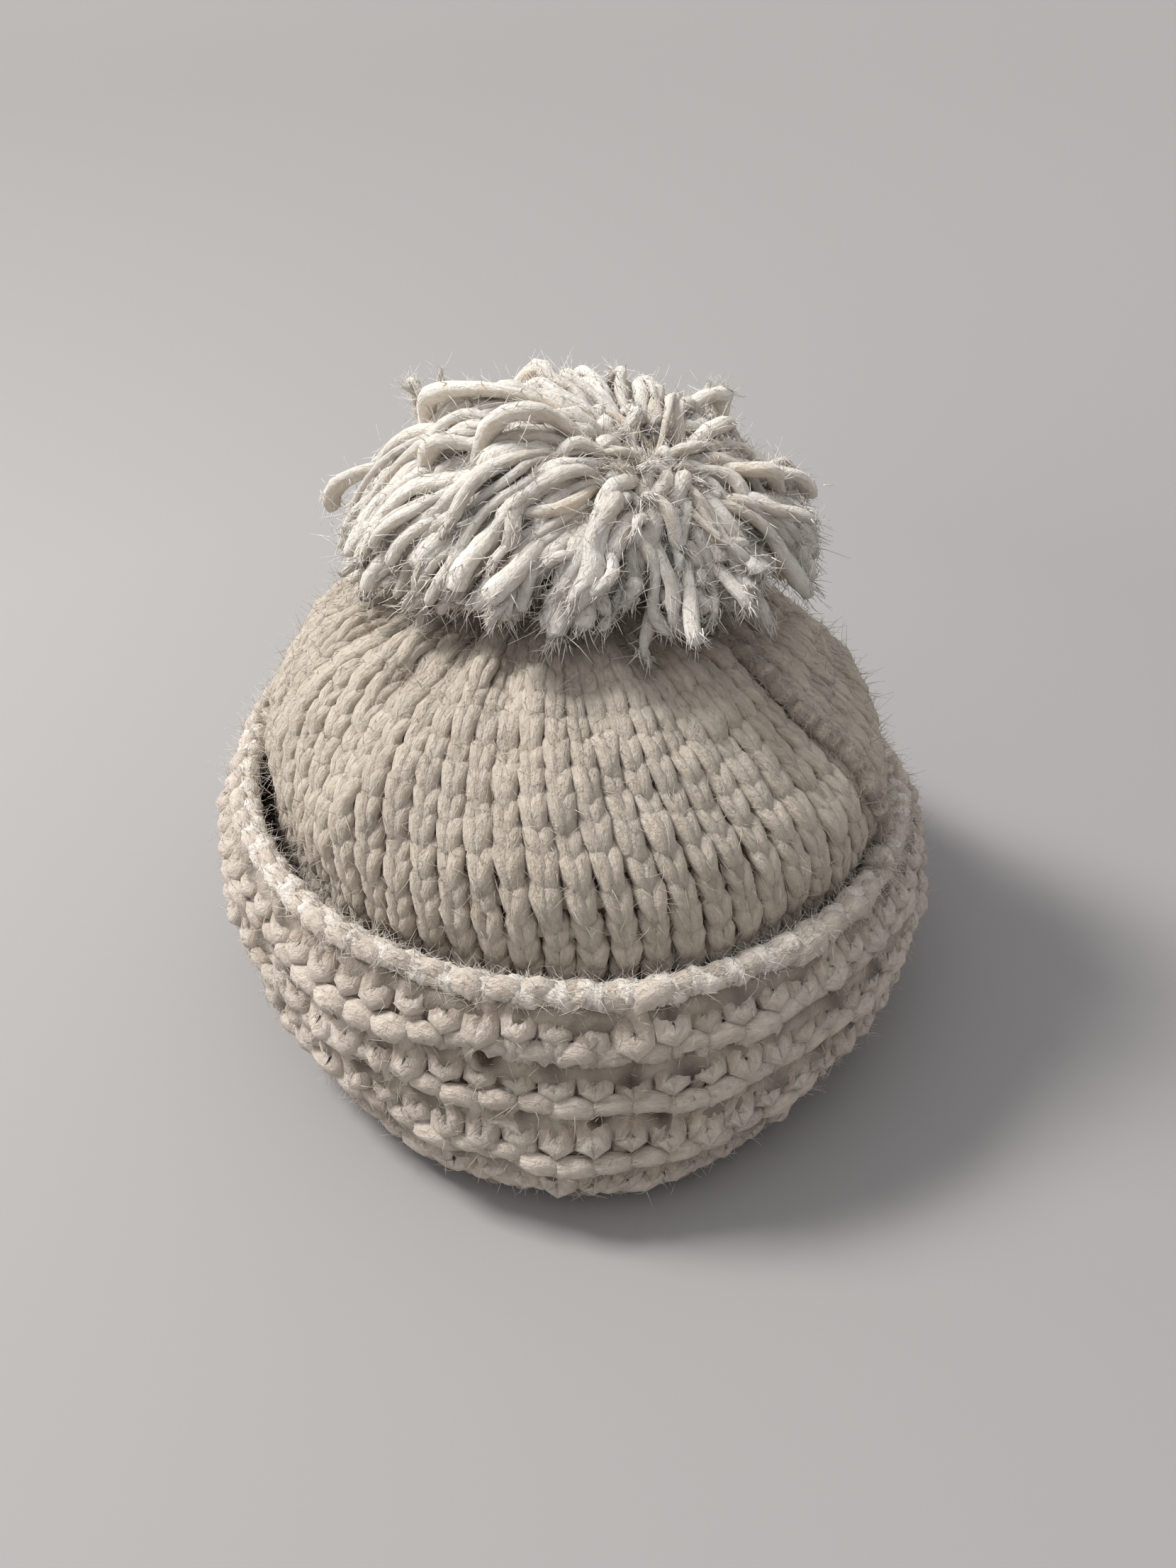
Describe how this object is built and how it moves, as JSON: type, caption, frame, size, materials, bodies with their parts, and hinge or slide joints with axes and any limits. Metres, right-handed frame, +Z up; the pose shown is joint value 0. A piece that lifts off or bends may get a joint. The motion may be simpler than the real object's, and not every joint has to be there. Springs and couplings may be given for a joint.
{
  "type": "pompom beanie",
  "caption": "Chunky cream knitted beanie with a deep turned-up cuff, a gathered crown and a loose yarn pompom that flops on its tie.",
  "frame": {"origin": "centre of the resting plane under the fold of the cuff", "axes": "+Z up through the crown and the pompom, +Y towards the wearer's face, -Y at the nape, +X across the ears to the right when looking at the nape"},
  "size_m": [0.1974, 0.227, 0.1605],
  "materials": {
    "knit_crown": "chunky cream knit, knit side out, fuzzy and matt",
    "knit_cuff": "chunky cream knit, purl side out, fuzzy and matt",
    "knit_edge": "cast-on edge of the cuff, slightly paler",
    "knit_inside": "hidden side of the knit, warmer in the shade",
    "tie_yarn": "thick tie yarn, cream",
    "pompom_yarn": "cut yarn of the pompom, off-white and fluffy"
  },
  "bodies": {
    "hat": {"fold_roll": "knit_cuff", "inner_band": "knit_inside", "cuff": "knit_cuff", "cast_on_edge": "knit_edge", "crown": "knit_crown", "back_seam": "knit_crown", "seam_end": "knit_crown", "gather_ring": "tie_yarn", "gather_knot": "tie_yarn"},
    "tie": {"tie_neck": "tie_yarn", "inner_knot": "tie_yarn", "tie_tail_left": "tie_yarn", "tie_tail_right": "tie_yarn"},
    "link": {"tie_link": "tie_yarn"},
    "pompom": {"pompom_core": "pompom_yarn", "waist_wrap": "tie_yarn", "tie_knot": "tie_yarn", "tuft_low_1": "pompom_yarn", "tuft_low_2": "pompom_yarn", "tuft_low_3": "pompom_yarn", "tuft_low_4": "pompom_yarn", "tuft_low_5": "pompom_yarn", "tuft_low_6": "pompom_yarn", "tuft_low_7": "pompom_yarn", "tuft_low_8": "pompom_yarn", "tuft_high_1": "pompom_yarn", "tuft_high_2": "pompom_yarn", "tuft_high_3": "pompom_yarn", "tuft_high_4": "pompom_yarn", "tuft_high_5": "pompom_yarn", "tuft_high_6": "pompom_yarn", "tuft_crest": "pompom_yarn"}
  },
  "joints": [
    {"name": "pompom_twist", "type": "hinge", "parent": "hat", "child": "tie", "pos_m": [0, 0, 0.113], "axis": [0, 0, 1], "range_deg": [-60, 60], "stiffness_Nm_per_rad": 0.01},
    {"name": "pompom_nod", "type": "hinge", "parent": "tie", "child": "link", "pos_m": [0, 0, 0.122], "axis": [1, 0, 0], "range_deg": [-5, 5], "stiffness_Nm_per_rad": 0.08},
    {"name": "pompom_sway", "type": "hinge", "parent": "link", "child": "pompom", "pos_m": [0, 0, 0.122], "axis": [0, 1, 0], "range_deg": [-5, 5], "stiffness_Nm_per_rad": 0.08}
  ]
}
